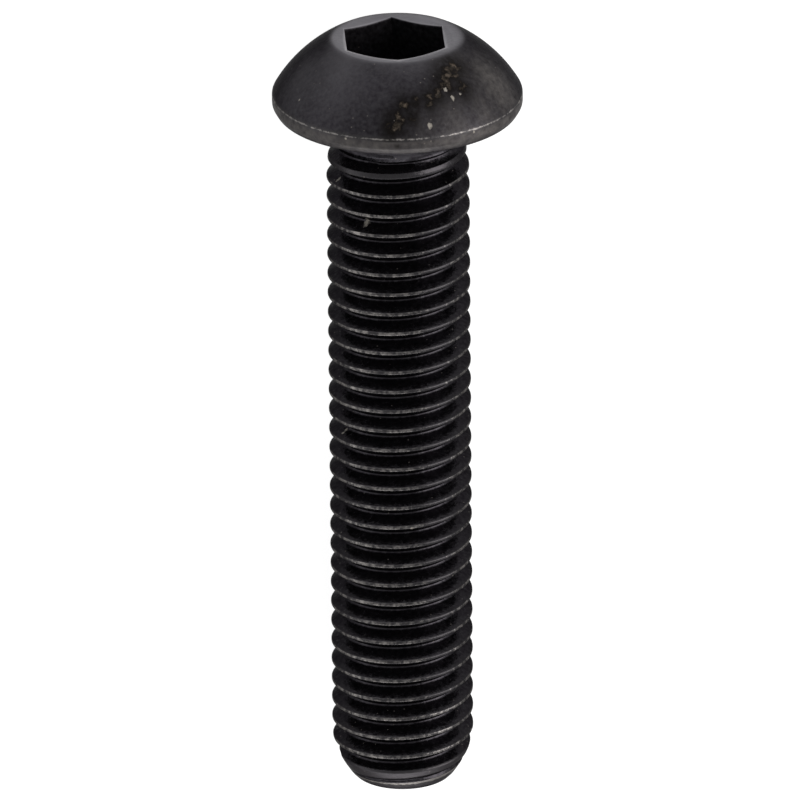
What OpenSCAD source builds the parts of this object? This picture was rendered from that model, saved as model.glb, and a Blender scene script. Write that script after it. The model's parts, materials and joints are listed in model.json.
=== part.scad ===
// Button head machine screw, M12 x 1.75 x 60, with a hexagon socket and a full-length thread.
// It is drawn upright, with its axis on Z, its head up and the bearing face at z = 0,
// and is then laid on the floor on its rim and on a crest near its point. Millimetres.

/* [Head] */
// Diameter of the head at its rim
head_d = 20.6; // [18:0.1:21]
// Height of the head above its bearing face
head_h = 6.2; // [5.8:0.1:6.8]
// Radius of the dome
dome_r = 11.8; // [11.2:0.1:13]
// Diameter of the flat around the socket
flat_d = 10.8; // [10.2:0.1:12]
// Diameter of the bearing face, inside the bevel under the rim
bearing_d = 19.9; // [16:0.1:20]
// Height of the bevel under the rim
bevel_h = 0.6; // [0.3:0.1:0.9]
// Diameter of the plain neck, which is the blank that the thread is rolled from
neck_d = 10.9; // [10.6:0.1:11.2]
// Length of the plain neck
neck_h = 2; // [1.8:0.1:2.4]
// Radius of the fillet between the head and the neck
neck_fillet = 0.6; // [0.3:0.1:0.9]

/* [Socket] */
// Width of the hexagon across its flats
socket_af = 8; // [6:0.5:8]
// Depth of the hexagon, from the flat
socket_depth = 4.6; // [4.5:0.1:4.8]
// Turn of the hexagon about the axis, from a corner at the back
socket_turn = 4.6; // [0:0.1:59]
// Slope of the countersink at the mouth, from the flat
mouth_angle = 25; // [15:1:45]
// Rim left by the countersink outside the hexagon's corners
mouth_rim = 0.1; // [0.05:0.05:0.2]
// Depth of the blunt cone at the bottom of the socket
socket_point = 0.8; // [0.4:0.1:1]

/* [Thread] */
// Crest diameter
thread_d = 11.8; // [11.5:0.1:12]
// Pitch
pitch = 1.75; // [1.5:0.05:2]
// Length from the bearing face to the end of the point
length = 60; // [40:5:80]
// Included angle between the flanks
flank_angle = 60; // [55:1:60]
// Width of the crest, as cut
crest_w = 0.28; // [0.2:0.02:0.3]
// Distance from the bearing face to where the groove has faded out
runout_top = 1.6; // [1.4:0.1:1.8]
// Length over which the groove rises and fades out towards the head
runout_h = 1.4; // [1:0.1:2]
// Length below the neck over which the crests grow to their full height
swell_h = 4; // [2:0.5:6]
// Swell of the crests: 1 grows evenly, and more fills the thread sooner
swell_round = 2; // [1:0.5:3]
// Distance from the bearing face to the first crest seen from the front
first_crest = 5.5; // [4:0.25:7]

/* [Point] */
// Diameter of the flat end
point_d = 8.4; // [7:0.1:9]
// Length of the taper at the end
point_h = 4; // [2.5:0.5:5]
// Fullness of the taper: 1 is a cone, and more is rounder
point_round = 1.8; // [1:0.1:2]

/* [Hidden] */
$fn = 96;
// Steps in each turn of the thread
turn_steps = 36;
// Overlap of solids that are joined or cut
eps = 0.05;
// Narrowest flank that is still drawn where a groove fades out
min_flank = 0.03;
// How far the thread's skin reaches into the neck above the run-out, and how deep it lies there
neck_seat = 0.5;
neck_skin = 0.15;

rim_r = head_d / 2;
neck_r = neck_d / 2;
crest_r = thread_d / 2;
flat_r = flat_d / 2;
end_r = point_d / 2;
bearing_r = bearing_d / 2;

// The dome is a ball that passes through the edge of the flat
dome_z = head_h - sqrt(dome_r * dome_r - flat_r * flat_r);

// The hexagon's corner circle, and the cone of the countersink
socket_r = socket_af / 2 / cos(30);
mouth_r = socket_r + mouth_rim;

// Thread form: the groove is what the flanks leave of a pitch, and its root is as wide as the crest
flank_t = tan(flank_angle / 2);
thread_h = (pitch / 2 - crest_w) / flank_t;
root_r = crest_r - thread_h;

// Heights of the two ends of the thread. The upper one is inside the neck
top_z = neck_seat - runout_top;
end_z = -length;

// Height of the crest line at an angle: it falls by one pitch in a turn, and is at first_crest in front
function crest_z(turns) = -first_crest - pitch * turns;

// How far the groove has risen towards the neck at a height: none, up to the whole thread height
function lift(z) = thread_h * min(1, max(0, 1 + (z + runout_top) / runout_h));

// Radius of the crests at a height: less in the taper of the point, and less below the neck, where
// the dies don't fill them
function taper(z) = min(1, max(0, 1 - (z - end_z) / point_h));
function unfilled(z) = min(1, max(0, 1 + (z + neck_h) / swell_h));
function blank_r(z) =
    crest_r - (crest_r - end_r) * pow(taper(z), point_round)
    - (crest_r - neck_r + neck_skin) * pow(unfilled(z), swell_round);

// Half the width of the crest at a height. It grows where the groove is shallow
root_half = (pitch - crest_w) / 2;
function crest_half(z) =
    min(root_half - min_flank, crest_w / 2 + flank_t * (crest_r + lift(z) - blank_r(z)));

// The four corners of one pitch, upper crest edge, lower crest edge, upper root edge and
// lower root edge, each as its height below the crest line
function corner_drop(corner, z) =
    corner == 0 ? -crest_half(z) : corner == 1 ? crest_half(z) :
    corner == 2 ? root_half : pitch - root_half;
function corner_r(corner, z) = corner < 2 ? blank_r(z) : min(blank_r(z), root_r + lift(z));

// A turn of thread starts in front, and goes round anticlockwise as it falls to the left. Two more
// turns than fit are made at each end, and fold into the end rings
spare_turns = 2;
first_turn = floor((-first_crest - top_z) / pitch) - spare_turns;
last_turn = ceil((-first_crest - end_z) / pitch) + spare_turns;
corners = 4;
rows = (last_turn - first_turn) * corners;

// A point of the thread: step counts round one turn, row counts the corners from the top
function step_angle(step) = -90 - 360 * step / turn_steps;
function row_z(step, row) =
    let (line = crest_z(first_turn + floor(row / corners) + step / turn_steps))
    line - corner_drop(row % corners, line);
function thread_point(step, row) =
    let (z = row_z(step, row), a = step_angle(step), r = corner_r(row % corners, z))
    [r * cos(a), r * sin(a), z];
function ring_point(step, z) =
    let (a = step_angle(step), r = blank_r(z)) [r * cos(a), r * sin(a), z];

// Rows above the neck fold into one level ring there, and rows past the point into another
top_ring = turn_steps * rows;
end_ring = top_ring + turn_steps;
function index(step, row) =
    let (s = step % turn_steps, q = row + corners * floor(step / turn_steps), z = row_z(s, q))
    z >= top_z ? top_ring + s : z <= end_z ? end_ring + s : s * rows + q;
function whole(f) = f[0] != f[1] && f[1] != f[2] && f[2] != f[0];

thread_points = concat(
    [for (s = [0 : turn_steps - 1], q = [0 : rows - 1]) thread_point(s, q)],
    [for (s = [0 : turn_steps - 1]) ring_point(s, top_z)],
    [for (s = [0 : turn_steps - 1]) ring_point(s, end_z)]);
thread_skin = [
    for (s = [0 : turn_steps - 1], q = [0 : rows - corners - 2])
    let (a = index(s, q), b = index(s + 1, q), c = index(s + 1, q + 1), d = index(s, q + 1))
    for (f = [[a, c, b], [a, d, c]]) if (whole(f)) f];
thread_caps = [
    [for (s = [0 : turn_steps - 1]) top_ring + s],
    [for (s = [turn_steps - 1 : -1 : 0]) end_ring + s]];

// The threaded shank is one skin: a helix of crests and roots with a level ring at each end
module threaded_shank() {
    polyhedron(points = thread_points, faces = concat(thread_skin, thread_caps), convexity = rows);
}

// The dome, cut flat at the top and to the rim at the side, with the bevel under the rim
module head_form() {
    intersection() {
        translate([0, 0, dome_z]) sphere(r = dome_r);
        rotate_extrude() polygon([
            [0, 0], [bearing_r, 0], [rim_r, bevel_h], [rim_r, head_h], [0, head_h]]);
    }
}

// The plain neck with the fillet that carries the load into the head
module neck() {
    rotate_extrude() difference() {
        translate([0, -neck_h]) square([neck_r + neck_fillet, neck_h + eps]);
        translate([neck_r + neck_fillet, -neck_fillet]) circle(r = neck_fillet);
        translate([neck_r, -neck_h - eps]) square([2 * neck_fillet, neck_h - neck_fillet + eps]);
    }
}

// The hexagon, its countersunk mouth and the blunt cone at its bottom
module socket() {
    floor_z = head_h - socket_depth;
    rotate([0, 0, 90 + socket_turn])
        translate([0, 0, floor_z]) cylinder(r = socket_r, h = socket_depth + eps, $fn = 6);
    mouth_depth = mouth_r * tan(mouth_angle);
    mouth_eps = eps * tan(mouth_angle);
    translate([0, 0, head_h - mouth_depth])
        cylinder(r1 = 0, r2 = mouth_r + eps, h = mouth_depth + mouth_eps);
    translate([0, 0, floor_z - socket_point])
        cylinder(r1 = 0, r2 = socket_af / 2 - eps, h = socket_point + eps);
}

module upright_screw() {
    difference() {
        union() {
            head_form();
            neck();
            threaded_shank();
        }
        socket();
    }
}

// At rest the screw touches the floor at its rim and at the last full crest behind it
contact_turn = floor((length - point_h - first_crest) / pitch - 0.5) + 0.5;
contact_z = crest_z(contact_turn) - crest_w / 2;
tilt = atan2(rim_r - crest_r, bevel_h - contact_z);
rest_z = rim_r * cos(tilt) - bevel_h * sin(tilt);
head_reach = head_h * cos(tilt) + flat_r * sin(tilt);
point_reach = length * cos(tilt) + end_r * sin(tilt);

// The whole screw, laid along Y with its head towards +Y
module screw() {
    color([0.16, 0.16, 0.17])
        translate([0, (point_reach - head_reach) / 2, rest_z])
            rotate([tilt - 90, 0, 0]) upright_screw();
}

screw();
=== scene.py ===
# A black button head machine screw, M12 by 60 mm, lying on a pale floor. It is one piece of steel, so
# it is one closed skin: each section below shapes one stretch of it, from the bottom of the socket over
# the head and down the thread to the point. Sizes are in millimetres until the skin is laid in place.
import json

import bpy
import numpy as np
from mathutils import Matrix, Vector


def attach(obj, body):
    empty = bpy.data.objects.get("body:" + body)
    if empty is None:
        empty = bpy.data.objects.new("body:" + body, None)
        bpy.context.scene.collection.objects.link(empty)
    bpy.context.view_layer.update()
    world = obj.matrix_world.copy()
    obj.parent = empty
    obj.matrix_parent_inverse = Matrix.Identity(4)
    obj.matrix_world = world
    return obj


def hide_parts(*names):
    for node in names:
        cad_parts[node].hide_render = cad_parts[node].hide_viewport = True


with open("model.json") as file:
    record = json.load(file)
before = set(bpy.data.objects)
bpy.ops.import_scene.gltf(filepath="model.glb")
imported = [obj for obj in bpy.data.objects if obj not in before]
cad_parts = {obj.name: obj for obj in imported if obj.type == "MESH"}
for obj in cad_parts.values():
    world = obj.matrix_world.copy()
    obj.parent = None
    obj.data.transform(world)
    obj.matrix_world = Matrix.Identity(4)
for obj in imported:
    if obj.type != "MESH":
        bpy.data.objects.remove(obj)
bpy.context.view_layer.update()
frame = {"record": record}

# Where the screw lies
# A screw can't stand on its point. It rests on its rim and on a crest near the point, so its axis
# climbs towards the head. The bearing face under the head gives its place and direction.
bearing = next(m for m in frame["record"]["mounts"] if m["name"] == "bearing_face")
along = -np.array(bearing["axis"]) / np.linalg.norm(bearing["axis"])
upside = np.array([0.0, -along[2], along[1]])
seat = np.array([0.0, bearing["pos_m"][1], bearing["pos_m"][2]])
mm = 0.001


def laid(points):
    """Points of the upright screw, head up and front towards -y, as they lie, in metres: x stays, the
    front turns up to the upper side, and height runs along the lying axis from the bearing face."""
    x, y, z = points[..., :1], points[..., 1:2], points[..., 2:]
    return seat + mm * (x * np.array([1.0, 0.0, 0.0]) - y * upside + z * along)


# Socket
# A key socket, forged as a hexagon with a blunt cone at its bottom. Its mouth is countersunk, so each
# flat ends in a shallow bow. The punch stood a little off the head's axis.
socket_flats = 8.0
socket_depth = 4.6
socket_point = 0.8
cone_radius = 3.7
floor_round = 0.12
socket_turn = np.radians(93.0)
off_centre = np.array([-0.18, -0.08, 0.0])
mouth_slope = np.tan(np.radians(14.0))
mouth_rim = 0.1
mouth_soft = 0.05
lip_width = 0.035
lip_rise = 0.012
head_height = 6.2
head_columns = 264

hex_corner = socket_flats / 2 / np.cos(np.pi / 6)
mouth_radius = hex_corner + mouth_rim
socket_floor = head_height - socket_depth


def column_angles(count):
    """Angles of the columns of a ring, anticlockwise from a corner of the hexagon."""
    return socket_turn + 2 * np.pi * np.arange(count) / count


def ring(radius, height, count):
    """One closed ring of points at those radii and heights, which may differ from column to column. It
    starts at a corner of the hexagon."""
    angle = column_angles(count)
    radius, height = np.broadcast_to(radius, count), np.broadcast_to(height, count)
    return np.stack([radius * np.cos(angle), radius * np.sin(angle), height], axis=1)


def hexagon_radius(angle):
    """Distance of the hexagon's wall: half the width across flats over the cosine of the angle from
    the middle of the nearest flat."""
    from_corner = (angle - socket_turn) % (np.pi / 3)
    return socket_flats / 2 / np.cos(from_corner - np.pi / 6)


wall = hexagon_radius(column_angles(head_columns))
wall_top = head_height - (mouth_radius - wall) * mouth_slope
cone_radii = (0.9, 1.9, 2.9, cone_radius)
socket_rows = [(r, socket_floor - socket_point * (1 - r / cone_radius)) for r in cone_radii]
socket_rows += [(wall - floor_round, socket_floor), (wall, socket_floor + floor_round)]
socket_rows += [(wall, socket_floor + share * (wall_top - socket_floor)) for share in (0.3, 0.6, 0.85)]
socket_rows += [(wall, wall_top - 4 * mouth_soft), (wall, wall_top - mouth_soft)]
lip = wall + lip_width
socket_rows.append((lip, head_height - (mouth_radius - lip) * mouth_slope + lip_rise))
for share in (0.45, 0.8):
    slope_radius = lip + share * (mouth_radius - lip)
    socket_rows.append((slope_radius, head_height - (mouth_radius - slope_radius) * mouth_slope))
socket_rings = np.array([ring(r, z, head_columns) for r, z in socket_rows])

# Head
# A button head, forged cold: a flat ring round the socket, a domed flank that is part of a ball, an
# upright rim, a bevel and the flat bearing face. A fillet carries it into a short plain neck.
rim_radius = 10.3
bevel_height = 0.6
flat_radius = 5.4
dome_radius = 11.8
bearing_radius = 9.95
neck_radius = 5.45
neck_length = 2.0
neck_fillet = 0.6
edge_softness = 0.09
fine_step = 0.01

dome_centre = head_height - np.sqrt(dome_radius**2 - flat_radius**2)
dome_start, dome_end = np.arcsin(flat_radius / dome_radius), np.arcsin(rim_radius / dome_radius)
rim_top = dome_centre + dome_radius * np.cos(dome_end)


def straight(start, end):
    """Fine points from start to end, without the end."""
    count = int(np.hypot(end[0] - start[0], end[1] - start[1]) / fine_step)
    return np.linspace(start, end, count, endpoint=False)


def arc(centre, radius, first, last):
    """Fine points on an arc about centre. Its angles are taken from straight up, clockwise."""
    count = int(abs(last - first) * radius / fine_step)
    angle = np.linspace(first, last, count, endpoint=False)
    return np.stack([centre[0] + radius * np.sin(angle), centre[1] + radius * np.cos(angle)], axis=1)


fillet_centre = (neck_radius + neck_fillet, -neck_fillet)
head_pieces = [
    straight((mouth_radius, head_height), (flat_radius, head_height)),
    arc((0.0, dome_centre), dome_radius, dome_start, dome_end),
    straight((rim_radius, rim_top), (rim_radius, bevel_height)),
    straight((rim_radius, bevel_height), (bearing_radius, 0.0)),
    straight((bearing_radius, 0.0), (neck_radius + neck_fillet, 0.0)),
    arc(fillet_centre, neck_fillet, 0.0, -np.pi / 2),
    straight((neck_radius, -neck_fillet), (neck_radius, -neck_length)),
]
rows_in_piece = [8, 54, 9, 9, 10, 8, 6]


def softened(path, spread):
    """The path with its corners rounded: each point becomes the mean of its neighbours, weighted by a
    bell curve of that spread, and both ends stay."""
    reach = int(3 * spread / fine_step)
    bell = np.exp(-0.5 * (np.arange(-reach, reach + 1) * fine_step / spread) ** 2)
    padded = np.pad(path, ((reach, reach), (0, 0)), mode="reflect", reflect_type="odd")
    return np.stack([np.convolve(padded[:, k], bell / bell.sum(), "valid") for k in (0, 1)], axis=1)


head_path = softened(np.concatenate(head_pieces), edge_softness)
piece_ends = np.cumsum([0] + [len(piece) for piece in head_pieces])
spans = zip(piece_ends[:-1], piece_ends[1:], rows_in_piece)
head_stops = np.concatenate([np.linspace(a, b, n, endpoint=False) for a, b, n in spans]).astype(int)
head_profile = head_path[np.append(head_stops, len(head_path) - 1)]
head_rings = np.array([ring(r, z, head_columns) for r, z in head_profile])

# Thread
# A rolled right-hand thread with 60 degree flanks. Its groove rises out in the neck. The crests below
# the neck and in the taper of the point are lower and broader: the blank doesn't fill the dies there.
pitch = 1.75
crest_radius = 5.9
crest_half = 0.12
thread_height = 1.12
flank_tan = np.tan(np.radians(30.0))
root_half = crest_half + thread_height * flank_tan
first_crest = -5.5
runout_top = -1.6
runout_length = 1.4
swell_length = 4.0
neck_skin = 0.15
screw_length = 60.0
point_length = 4.0
point_radius = 4.2
point_roundness = 1.8
crest_softness = 0.04
root_softness = 0.12
shoulder = 0.05
root_shoulder = 0.08
least_flank = 0.02
thread_top = -neck_length - 0.02
thread_end = -screw_length + 0.45
thread_columns = head_columns // 2


def lift(height):
    """How far the groove has risen: none below the run-out, all of the thread's height at its top."""
    return thread_height * np.clip(1 + (height - runout_top) / runout_length, 0, 1)


def blank(height):
    """Radius of the blank: the crests', less a rounded taper at the point and a swell that starts just
    inside the neck."""
    taper = np.clip(1 - (height + screw_length) / point_length, 0, 1)
    unfilled = np.clip(1 + (height + neck_length) / swell_length, 0, 1)
    at_point = (crest_radius - point_radius) * taper**point_roundness
    return crest_radius - at_point - (crest_radius - neck_radius + neck_skin) * unfilled**2


def crest_line(angle, turn):
    """Height of the crest line: it climbs one pitch a turn, anticlockwise from the front."""
    return first_crest + pitch * ((angle + np.pi / 2) / (2 * np.pi) - turn)


def crest_reach(height):
    """Half width of the crest, to where the flank would meet the blank."""
    reach = crest_half + flank_tan * (crest_radius + lift(height) - blank(height))
    return np.minimum(reach, root_half - root_shoulder - shoulder - least_flank)


def from_crest(angle, height):
    """Signed distance below the nearest crest line, along the axis."""
    below = (crest_line(angle, 0) - height) / pitch
    return pitch * (below - np.round(below))


def thread_radius(angle, height):
    """The lesser of the blank's radius and the groove's, blended softly. The groove is the greater of
    the root and the flank, which falls from the crest's edge, and it is raised by the lift."""
    flank = crest_radius + (crest_half - np.abs(from_crest(angle, height))) / flank_tan
    root = crest_radius - thread_height
    groove = root_softness * np.logaddexp(root / root_softness, flank / root_softness) + lift(height)
    return -crest_softness * np.logaddexp(-blank(height) / crest_softness, -groove / crest_softness)


def row_drops(height):
    """Distances below the crest line of the rows in one pitch: close pairs at the edges of the crest
    and of the root, and one in the middle of each flat and flank."""
    reach = crest_reach(height)
    near, far = reach + shoulder, root_half - root_shoulder
    lower = [-near, -reach, -reach + shoulder, 0 * reach, reach - shoulder, reach, near, (near + far) / 2]
    root = [far, root_half + root_shoulder, pitch / 2, pitch - root_half - root_shoulder]
    upper = [pitch - far, pitch - (near + far) / 2]
    return np.stack(np.broadcast_arrays(*(lower + root + upper)), axis=-1)


def thread_normals(angle, height):
    """Outward directions on the thread: straight out, less the radius's slopes along the axis and
    round it. They keep the flanks flat between the rows, right up to the edge of the crest."""
    step = 0.004
    radius = thread_radius(angle, height)
    climb = (thread_radius(angle, height + step) - thread_radius(angle, height - step)) / (2 * step)
    round_it = (thread_radius(angle + step, height) - thread_radius(angle - step, height)) / (2 * step)
    across = -round_it / radius
    x = np.cos(angle) - across * np.sin(angle)
    y = np.sin(angle) + across * np.cos(angle)
    normals = np.stack(np.broadcast_arrays(x, y, -climb), axis=-1)
    return normals / np.linalg.norm(normals, axis=-1, keepdims=True)


angles = column_angles(thread_columns)
first_turn = int(np.floor((first_crest - thread_top) / pitch)) - 1
last_turn = int(np.ceil((first_crest - thread_end) / pitch)) + 3
lines = crest_line(angles[:, None], np.arange(first_turn, last_turn)[None, :])
heights = lines[..., None] - row_drops(lines)
rows_in_pitch = heights.shape[2]
heights = heights.reshape(thread_columns, -1)
radii = thread_radius(angles[:, None], heights)
thread_grid = np.stack([radii * np.cos(angles)[:, None], radii * np.sin(angles)[:, None], heights], axis=2)
thread_upper = ring(thread_radius(angles, thread_top), thread_top, thread_columns)
thread_lower = ring(thread_radius(angles, thread_end), thread_end, thread_columns)

# Point
# The end of the blank was cut off square before the rolling. Its flat is plain, and its edge is
# slightly rounded.
end_round = 0.1
last_row = -screw_length + 0.3
end_profile = [(blank(last_row), last_row)]
for turn in np.radians([0, 30, 60, 90]):
    edge = point_radius - end_round * (1 - np.cos(turn))
    end_profile.append((edge, -screw_length + end_round * (1 - np.sin(turn))))
end_profile += [(r, -screw_length) for r in (3.7, 3.0, 2.0, 1.0)]
end_rings = np.array([ring(r, z, thread_columns) for r, z in end_profile])

# One skin
# The stretches are welded where they meet. The rows of the thread climb, so those that would pass its
# ends fold into a level ring there. Between the neck and the thread every second column ends.


def cell_faces(a, b, c, d):
    """Two triangles for each cell of a grid, from the numbers of its four corners."""
    return np.concatenate([np.stack([a, b, c], -1).reshape(-1, 3), np.stack([a, c, d], -1).reshape(-1, 3)])


def ring_faces(first, rows, count):
    """Triangles between level rings whose points are numbered on from first."""
    here = first + np.arange(rows - 1)[:, None] * count + np.arange(count)[None, :]
    side = first + np.arange(rows - 1)[:, None] * count + (np.arange(count)[None, :] + 1) % count
    return cell_faces(here, here + count, side + count, side)


def cap_faces(centre, first, count, downward):
    """A fan from the centre point to a ring."""
    here = first + np.arange(count)
    side = first + (np.arange(count) + 1) % count
    pair = (side, here) if downward else (here, side)
    return np.stack([np.full(count, centre), *pair], axis=1)


upper_rings = np.concatenate([socket_rings, head_rings])
points = np.concatenate([
    [[0.0, 0.0, socket_floor - socket_point]],
    upper_rings.reshape(-1, 3),
    thread_upper,
    thread_grid.reshape(-1, 3),
    thread_lower,
    end_rings.reshape(-1, 3),
    [[0.0, 0.0, -screw_length]],
])
upper_first = 1
neck_first = upper_first + (len(upper_rings) - 1) * head_columns
top_first = upper_first + len(upper_rings) * head_columns
grid_first = top_first + thread_columns
bottom_first = grid_first + thread_grid.shape[0] * thread_grid.shape[1]

faces = [cap_faces(0, upper_first, head_columns, False)]
faces.append(ring_faces(upper_first, len(upper_rings), head_columns))

column = np.arange(thread_columns)
wide, wide_next = neck_first + 2 * column, neck_first + (2 * column + 2) % head_columns
slim, slim_next = top_first + column, top_first + (column + 1) % thread_columns
faces.append(np.stack([wide, slim, wide + 1], axis=1))
faces.append(np.stack([wide + 1, slim, slim_next], axis=1))
faces.append(np.stack([wide + 1, slim_next, wide_next], axis=1))

row_count = heights.shape[1]
numbers = grid_first + column[:, None] * row_count + np.arange(row_count)[None, :]
numbers = np.where(heights >= thread_top, top_first + column[:, None], numbers)
numbers = np.where(heights <= thread_end, bottom_first + column[:, None], numbers)
here = numbers[:, rows_in_pitch:]
after = np.concatenate([numbers[1:, rows_in_pitch:], numbers[:1, :-rows_in_pitch]])
thread_faces = cell_faces(here[:, :-1], here[:, 1:], after[:, 1:], after[:, :-1])
whole = (thread_faces != np.roll(thread_faces, 1, axis=1)).all(axis=1)
faces.append(thread_faces[whole])

faces.append(ring_faces(bottom_first, len(end_rings) + 1, thread_columns))
faces.append(cap_faces(len(points) - 1, len(points) - 1 - thread_columns, thread_columns, True))
faces = np.concatenate(faces)

normals = np.zeros((len(points), 3))
normals[grid_first:bottom_first] = thread_normals(angles[:, None], heights).reshape(-1, 3)
used = np.unique(faces)
renumber = np.zeros(len(points), int)
renumber[used] = np.arange(len(used))
points, normals, faces = points[used], normals[used], renumber[faces]

radius = np.hypot(points[:, 0], points[:, 1])
angle = np.arctan2(points[:, 1], points[:, 0])
height = points[:, 2]

# The socket goes off the axis as one, and the level flat round it takes up the difference
in_socket = np.clip((flat_radius - radius) / (flat_radius - mouth_radius), 0, 1) * (height > 0)

mesh = bpy.data.meshes.new("screw_skin")
mesh.from_pydata(laid(points + in_socket[:, None] * off_centre), [], faces)
mesh.polygons.foreach_set("use_smooth", np.ones(len(mesh.polygons), bool))
mesh.validate()
mesh.normals_split_custom_set_from_vertices(laid(normals) - seat)
screw = bpy.data.objects.new("screw_body", mesh)
bpy.context.scene.collection.objects.link(screw)
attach(screw, "root")
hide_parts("screw")

# Wear, dirt and painted light
# Handling has worn the oxide off the crests and the upper edge of the rim. The crests'
# lighter colour is partly a painted highlight, with painted shade a little right of the front. The
# socket's edge has a painted highlight line, and the flat a lighter painted reflection. Dust and haze
# on the rim and parts of the dome are partly real dust and partly painted light. Old dirt has caked
# on the dome.
crest_feather = 0.04
swell_fade = 0.15
upper_edge_depth = 0.03
upper_edge_width = 0.06
# The side where the crests' lighter colour is painted weaker, as painted shade
shaded_crest_side = np.radians(-58)
rim_wear_width = 0.17
# Place and width of the painted highlight line along the socket's edge
mouth_line_place = 0.05
mouth_line_width = 0.06
flat_feather = 0.12
# Level and reach of the rim's dust, which is partly painted light
rim_dust_light_level = 0.8
rim_dust_light_reach = 0.7
# Where the haze lies round the flat's edge; the haze is partly painted light
haze_light_side = np.radians(-65)
haze_light_radius = 5.9
haze_light_width = 0.7

on_thread = (height < thread_top) & (height > -screw_length + 0.2)
on_dome = (height > rim_top - 0.2) & (radius > mouth_radius)
past_wall = radius - hexagon_radius(angle)
round_mouth = (height > head_height - 0.4) & (past_wall > 0.01)


def bell(distance, width):
    """1 where the distance is nil, and less away from there: e to the minus square of distance over
    width."""
    return np.exp(-((distance / width) ** 2))


def spot(side, distance, size):
    """Bell round a mark on top of the head. Its place is an angle in degrees, from the front to the
    right, and a distance from the axis."""
    turn = np.radians(side)
    away = np.hypot(points[:, 0] - distance * np.sin(turn), points[:, 1] + distance * np.cos(turn))
    return on_dome * bell(away, size)


def fleck(side, level, size):
    """Bell round a mark on the rim or the thread: its place is an angle, as above, and a level."""
    round_it = (angle - np.radians(side - 90) + np.pi) % (2 * np.pi) - np.pi
    return bell(np.hypot(radius * round_it, height - level), size)


def keep(name, values):
    """Stores one value a point on the skin, for the finish to read."""
    stored = mesh.attributes.new(name, "FLOAT", "POINT")
    stored.data.foreach_set("value", np.broadcast_to(values, len(points)).astype(np.float32))


# Rubbed edges, partly painted highlight. The crests' lighter colour is weaker a little right of the
# front, as painted shade, and where they are broad, near the point, only their upper edges get it, as
# a painted highlight
below_line, reach = from_crest(angle, height), crest_reach(height)
on_crest = on_thread * bell(np.maximum(np.abs(below_line) - reach, 0), crest_feather)
full_height = bell(reach - crest_half, swell_fade)
upper_edge_highlight = on_thread * bell(below_line + reach - upper_edge_depth, upper_edge_width) * (height < -8)
# Painted shade: the crests' lighter colour is weaker a little right of the front
crest_side_shade = 1 - 0.3 * bell(angle - shaded_crest_side, 0.3) * (height > -52)
crest_wear_and_highlight = np.maximum(crest_side_shade * full_height * on_crest, 1.9 * (1 - full_height) * upper_edge_highlight)
rim_wear = bell(np.hypot(radius - rim_radius, height - rim_top), rim_wear_width)
# Painted highlight: a bright line along the socket's edge, strongest and widest at the front
in_front = 0.5 - 0.5 * np.sin(angle)
mouth_highlight_line = bell(past_wall - mouth_line_place, mouth_line_width + 0.3 * in_front**2)
mouth_highlight = mouth_highlight_line * (0.3 + 0.7 * in_front) * round_mouth
burr = 1.6 * on_crest * fleck(-34.3, -9.15, 0.8)
# Rubbed crests and rim, with painted highlights on the crests and along the socket's edge
keep("rubbed_and_highlit", np.max([crest_wear_and_highlight, 1.15 * rim_wear, mouth_highlight, burr], axis=0))
keep("unrolled", (1 - full_height) * on_crest * np.clip(-(height + 3.2) / 0.6, 0, 1))
keep("rolled", (height < thread_top).astype(float))

# The flat's lighter grey, a painted reflection, which fades out over its edge. The socket's edge adds
# its painted highlight
on_flat = round_mouth / (1 + np.exp((radius - flat_radius) / flat_feather))
keep("painted_sheen", on_flat + 0.4 * mouth_highlight)

# Dust and haze, partly real dust and partly painted light that brightens the rim and parts of the
# dome. Each listed spot is its share and its mark
on_rim = bell((height - rim_dust_light_level) ** 2, rim_dust_light_reach**2) * (radius > bearing_radius)
dust_light_spots = [
    (0.35, (28, 10.0, 1.8)), (0.4, (48, 9.6, 1.6)), (0.7, (66, 8.8, 2.2)),
    (0.25, (14, 10.1, 1.2)), (0.3, (50, 6.4, 2.0)),
]
on_dust_light_spots = np.max([share * spot(*mark) for share, mark in dust_light_spots], axis=0)
# Partly dust, partly painted light on the rim and the right of the dome
keep("dusty_and_lit", np.maximum(0.65 * on_rim, on_dust_light_spots))
# Partly a cool haze, partly painted light on the left of the dome and near the flat's edge
round_flat = on_dome * bell(radius - haze_light_radius, haze_light_width) * bell(angle - haze_light_side, 0.9)
keep("haze_and_light", np.max([0.75 * spot(-48, 6.4, 2.6), 0.45 * spot(-62, 8.0, 2.4), 0.4 * round_flat], axis=0))

# Caked dirt, as a trail over the dome, and chips, as spots on the dome and flecks elsewhere
cakes = [
    (46, 6.4, 1.3), (38, 6.9, 1.5), (31, 7.5, 1.3), (41, 8.1, 1.0), (24, 8.1, 0.9), (18, 8.4, 0.9),
    (10, 8.5, 0.7), (4, 8.7, 0.9), (7, 9.2, 0.8), (1, 9.4, 1.0), (-3, 9.7, 1.0),
]
rim_cake = fleck(-0.2, 0.86, 0.25)
keep("caked", np.max([spot(*mark) for mark in cakes] + [rim_cake], axis=0))
dome_chips = [
    (15.6, 9.79, 0.26), (29.7, 7.92, 0.26), (31.7, 8.54, 0.28), (37.6, 8.42, 0.16), (9, 10.1, 0.16),
    (20, 9.1, 0.14), (-58, 9.4, 0.16), (-97, 5.2, 0.12), (99, 5.8, 0.12),
]
nicks = [
    (-24.5, 1.2, 0.2), (15.7, 1.15, 0.18), (37, 1.2, 0.2), (-31.3, -8.4, 0.48), (-65, -5.4, 0.3),
    (9.1, -35.4, 0.3), (61.4, -41.0, 0.35), (-62.8, -28.0, 0.3), (-5.8, -39.0, 0.25),
]
keep("chipped", np.max([spot(*mark) for mark in dome_chips] + [fleck(*mark) for mark in nicks], axis=0))

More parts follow.
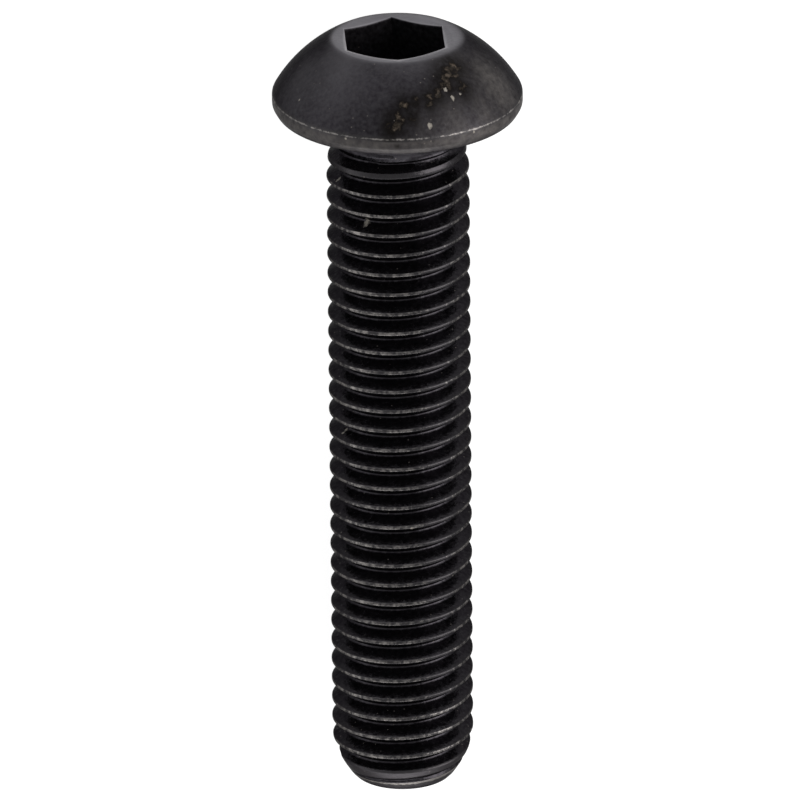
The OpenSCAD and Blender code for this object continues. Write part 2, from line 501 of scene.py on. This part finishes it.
# Finish
# Black oxide on alloy steel, a little oily: nearly black, satin on the forged head and glossier where
# the thread was rolled. Bright steel shows in specks where the oxide has worn off. Some lighter layers
# are painted light: highlights on the crests and the socket's edge, a reflection on the flat, and light
# in the dust and haze.
oxide_dark, oxide_light = (0.016, 0.014, 0.018), (0.040, 0.038, 0.043)
blank_oxide = (0.060, 0.056, 0.060)
# Colour of the rubbed edges, also the painted highlight on the crests and the socket's edge
polished_and_highlit_oxide = (0.044, 0.042, 0.044)
# Partly dust, partly painted light
dust_and_light_grey = (0.102, 0.093, 0.086)
# Partly a cool haze, partly painted light
haze_and_light_grey = (0.098, 0.093, 0.104)
# Painted reflection on the flat round the socket
flat_sheen_grey = (0.190, 0.184, 0.203)
# Painted highlight along the socket's edge
mouth_highlight_grey = (0.320, 0.310, 0.330)
cake_black = (0.006, 0.005, 0.004)
crumb_brown = (0.070, 0.054, 0.040)
bare_steel = (0.25, 0.235, 0.225)
mote_tan = (0.15, 0.135, 0.12)
chip_tan = (0.26, 0.24, 0.21)
thin_dust = 0.035
oxide_tint = 0.42
rolled_gloss = 0.16
crust_matt = 0.4
dent_depth = 0.00006


def finish():
    """The oxide's material. Patterns are in millimetres on the object's coordinates, turned upright."""
    material = bpy.data.materials.new("black_oxide")
    material.use_nodes = True
    nodes, links = material.node_tree.nodes, material.node_tree.links
    shader = nodes["Principled BSDF"]
    place = nodes.new("ShaderNodeTexCoord")
    turn = nodes.new("ShaderNodeMapping")
    turn.inputs["Scale"].default_value = (1000, 1000, 1000)
    turn.inputs["Rotation"].default_value = (np.pi / 2 - np.arctan2(along[2], along[1]), 0, 0)
    links.new(place.outputs["Object"], turn.inputs["Vector"])

    def noise(scale, detail, roughness=0.5):
        """Cloud pattern with that many cells a millimetre."""
        node = nodes.new("ShaderNodeTexNoise")
        node.inputs["Scale"].default_value = scale
        node.inputs["Detail"].default_value = detail
        node.inputs["Roughness"].default_value = roughness
        links.new(turn.outputs["Vector"], node.inputs["Vector"])
        return node.outputs["Fac"]

    def stored(name):
        """One of the values that the points carry."""
        node = nodes.new("ShaderNodeAttribute")
        node.attribute_name = name
        return node.outputs["Fac"]

    def joined(operation, first, second):
        """One step of arithmetic. Each side is a socket or a plain number."""
        node = nodes.new("ShaderNodeMath")
        node.operation = operation
        for socket, value in zip(node.inputs, (first, second)):
            if isinstance(value, (int, float)):
                socket.default_value = value
            else:
                links.new(value, socket)
        return node.outputs["Value"]

    def ranged(value, low, high, to_low=0.0, to_high=1.0):
        """The value with low..high stretched to to_low..to_high, and cut off outside."""
        node = nodes.new("ShaderNodeMapRange")
        for name, number in zip(("From Min", "From Max", "To Min", "To Max"), (low, high, to_low, to_high)):
            node.inputs[name].default_value = number
        links.new(value, node.inputs["Value"])
        return node.outputs["Result"]

    def mixed(share, first, second):
        """A colour between two. Each is a socket or a plain red, green and blue."""
        node = nodes.new("ShaderNodeMix")
        node.data_type = "RGBA"
        links.new(share, node.inputs["Factor"])
        for name, value in (("A", first), ("B", second)):
            if isinstance(value, tuple):
                node.inputs[name].default_value = (*value, 1)
            else:
                links.new(value, node.inputs[name])
        return node.outputs["Result"]

    grain = noise(3.0, 6)
    patches = noise(0.35, 3)
    flecks = noise(2.2, 5, 0.7)
    lumps = noise(1.6, 4, 0.6)

    cells = nodes.new("ShaderNodeTexVoronoi")
    cells.inputs["Scale"].default_value = 1.2
    links.new(turn.outputs["Vector"], cells.inputs["Vector"])
    motes = ranged(cells.outputs["Distance"], 0.03, 0.09, 0.7, 0.0)

    # Dust, partly painted light on the rim and the dome
    thick_dust_and_light = joined("MULTIPLY", stored("dusty_and_lit"), ranged(lumps, 0.35, 0.65, 0.4, 0.9))
    dust_and_light = joined("ADD", thin_dust, thick_dust_and_light)
    # Partly a cool haze, partly painted light
    haze_and_light_share = joined("MULTIPLY", stored("haze_and_light"), ranged(patches, 0.3, 0.7, 0.5, 0.8))
    # Painted reflection on the flat
    painted_sheen = joined("MULTIPLY", stored("painted_sheen"), ranged(patches, 0.3, 0.7, 0.75, 0.9))
    cake = joined("MULTIPLY", stored("caked"), ranged(lumps, 0.35, 0.55, 0.65, 1.0))
    crumbs = ranged(joined("MULTIPLY", stored("caked"), lumps), 0.46, 0.6)
    pits = joined("MULTIPLY", crumbs, ranged(flecks, 0.46, 0.54, 1.0, 0.0))
    chips = ranged(joined("MULTIPLY", stored("chipped"), flecks), 0.3, 0.42)
    bare = ranged(joined("MULTIPLY", flecks, stored("rubbed_and_highlit")), 0.43, 0.66)

    colour = mixed(ranged(grain, 0.3, 0.7), oxide_dark, oxide_light)
    layers = [
        (dust_and_light, dust_and_light_grey), (haze_and_light_share, haze_and_light_grey), (stored("unrolled"), blank_oxide),
        (stored("rubbed_and_highlit"), polished_and_highlit_oxide), (painted_sheen, flat_sheen_grey),
        (ranged(stored("painted_sheen"), 1.05, 1.3), mouth_highlight_grey), (cake, cake_black), (crumbs, crumb_brown),
        (pits, cake_black), (bare, bare_steel), (motes, mote_tan), (chips, chip_tan),
    ]
    for share, layer in layers:
        colour = mixed(share, colour, layer)
    links.new(colour, shader.inputs["Base Color"])

    dull = painted_sheen
    for share in (dust_and_light, haze_and_light_share, crumbs, motes, chips):
        dull = joined("MAXIMUM", dull, share)
    links.new(ranged(dull, 0.0, 1.0, 1.0, 0.0), shader.inputs["Metallic"])
    shader.inputs["Specular Tint"].default_value = (oxide_tint, oxide_tint, oxide_tint, 1)

    smooth = joined("SUBTRACT", stored("rolled"), stored("unrolled"))
    gloss = joined("MULTIPLY", smooth, rolled_gloss)
    satin = joined("SUBTRACT", ranged(grain, 0.25, 0.75, 0.32, 0.46), gloss)
    crust = joined("MULTIPLY", joined("MAXIMUM", cake, chips), crust_matt)
    links.new(joined("ADD", satin, crust), shader.inputs["Roughness"])

    dents = nodes.new("ShaderNodeBump")
    dents.inputs["Strength"].default_value = 0.5
    dents.inputs["Distance"].default_value = dent_depth
    links.new(joined("ADD", grain, joined("MULTIPLY", cake, flecks)), dents.inputs["Height"])
    links.new(dents.outputs["Normal"], shader.inputs["Normal"])
    return material


mesh.materials.append(finish())

# Floor
# A plain pale sheet that the screw lies on, far wider than the view. The camera sees it white, and it
# still takes the screw's soft shadow.
floor_half = 1.5
floor_grey = 0.4
floor_lifts = {"Is Camera Ray": 0.82, "Is Glossy Ray": 0.22}
floor_mesh = bpy.data.meshes.new("floor")
corners = [(-floor_half, -floor_half, 0), (floor_half, -floor_half, 0), (floor_half, floor_half, 0)]
floor_mesh.from_pydata(corners + [(-floor_half, floor_half, 0)], [], [(0, 1, 2, 3)])
floor = bpy.data.objects.new("floor", floor_mesh)
bpy.context.scene.collection.objects.link(floor)


def pale():
    """A matt pale grey that keeps shadows. It is lifted to the white of the backdrop where the camera
    sees it, and less so where gloss does."""
    material = bpy.data.materials.new("pale_floor")
    material.use_nodes = True
    nodes, links = material.node_tree.nodes, material.node_tree.links
    shader = nodes["Principled BSDF"]
    shader.inputs["Base Color"].default_value = (floor_grey, floor_grey, floor_grey, 1)
    shader.inputs["Roughness"].default_value = 1.0
    shader.inputs["Specular IOR Level"].default_value = 0.0
    shader.inputs["Emission Color"].default_value = (1, 1, 1, 1)
    rays = nodes.new("ShaderNodeLightPath")
    shares = []
    for ray, lift in floor_lifts.items():
        share = nodes.new("ShaderNodeMath")
        share.operation = "MULTIPLY"
        share.inputs[1].default_value = lift
        links.new(rays.outputs[ray], share.inputs[0])
        shares.append(share.outputs["Value"])
    total = nodes.new("ShaderNodeMath")
    links.new(shares[0], total.inputs[0])
    links.new(shares[1], total.inputs[1])
    links.new(total.outputs["Value"], shader.inputs["Emission Strength"])
    return material


floor_mesh.materials.append(pale())

# Light
# Plain studio light: a soft surround that is dimmer overhead, where the photographer stood, with one
# large soft lamp on the right and a low one beyond the point.
overhead_light = 0.56
skyline_light = 1.2
skyline_falloff = 2.4
surround = bpy.data.worlds.new("surround")
surround.use_nodes = True
sky, sky_links = surround.node_tree.nodes, surround.node_tree.links
sky["Background"].inputs["Color"].default_value = (1, 1, 1, 1)
sight = sky.new("ShaderNodeTexCoord")
climb = sky.new("ShaderNodeSeparateXYZ")
sky_links.new(sight.outputs["Generated"], climb.inputs["Vector"])
lowness = sky.new("ShaderNodeMapRange")
lowness.inputs["To Min"].default_value = 1.0
lowness.inputs["To Max"].default_value = 0.0
sky_links.new(climb.outputs["Z"], lowness.inputs["Value"])
falloff = sky.new("ShaderNodeMath")
falloff.operation = "POWER"
falloff.inputs[1].default_value = skyline_falloff
sky_links.new(lowness.outputs["Result"], falloff.inputs[0])
brightness = sky.new("ShaderNodeMath")
brightness.operation = "MULTIPLY_ADD"
brightness.inputs[1].default_value = skyline_light
brightness.inputs[2].default_value = overhead_light
sky_links.new(falloff.outputs["Value"], brightness.inputs[0])
sky_links.new(brightness.outputs["Value"], sky["Background"].inputs["Strength"])
bpy.context.scene.world = surround


def soft_lamp(name, direction, distance, size, brightness, colour):
    """A lamp that faces the screw. Its power is its brightness times pi times its area."""
    data = bpy.data.lights.new(name, "AREA")
    data.shape = "RECTANGLE"
    data.size, data.size_y = size
    data.energy = brightness * np.pi * size[0] * size[1]
    data.color = colour
    lamp = bpy.data.objects.new(name, data)
    bpy.context.scene.collection.objects.link(lamp)
    outward = Vector(direction).normalized()
    facing = outward.to_track_quat("Z", "Y").to_matrix().to_4x4()
    lamp.matrix_world = Matrix.Translation(distance * outward) @ facing


soft_lamp("right_lamp", (0.85, 0.08, 0.52), 0.6, (0.48, 0.48), 3.2, (1.0, 0.97, 0.95))
soft_lamp("low_lamp", (0.0, -1.0, 0.2), 0.6, (0.6, 0.3), 2.0, (1.0, 1.0, 1.0))

# Camera
# The photograph looks down on the upright screw's head by 24 degrees, from a little over a metre away,
# and is turned by half a degree. The scale is that of the plane through the point aimed at.
view_down = np.radians(23.91)
view_distance = 1200.0
view_roll = np.radians(-0.5)
aim_height = -26.27
pixels_per_mm = 12.073
frame_pixels = 800

lens_data = bpy.data.cameras.new("camera")
camera = bpy.data.objects.new("camera", lens_data)
bpy.context.scene.collection.objects.link(camera)
toward = np.cos(view_down) * upside + np.sin(view_down) * along
up = np.cos(view_down) * along - np.sin(view_down) * upside
right = np.cross(up, toward)
aim = laid(np.array([0.0, 0.0, aim_height]))
turned_up = np.cos(view_roll) * up - np.sin(view_roll) * right
turned_right = np.cos(view_roll) * right + np.sin(view_roll) * up
columns = np.stack([turned_right, turned_up, toward], axis=1)
eye = Vector(aim + mm * view_distance * toward)
camera.matrix_world = Matrix.Translation(eye) @ Matrix(columns).to_4x4()
lens_data.sensor_width = 36.0
lens_data.lens = pixels_per_mm * view_distance * lens_data.sensor_width / frame_pixels
lens_data.clip_end = 10.0
bpy.context.scene.camera = camera
bpy.context.scene.view_settings.view_transform = "Standard"
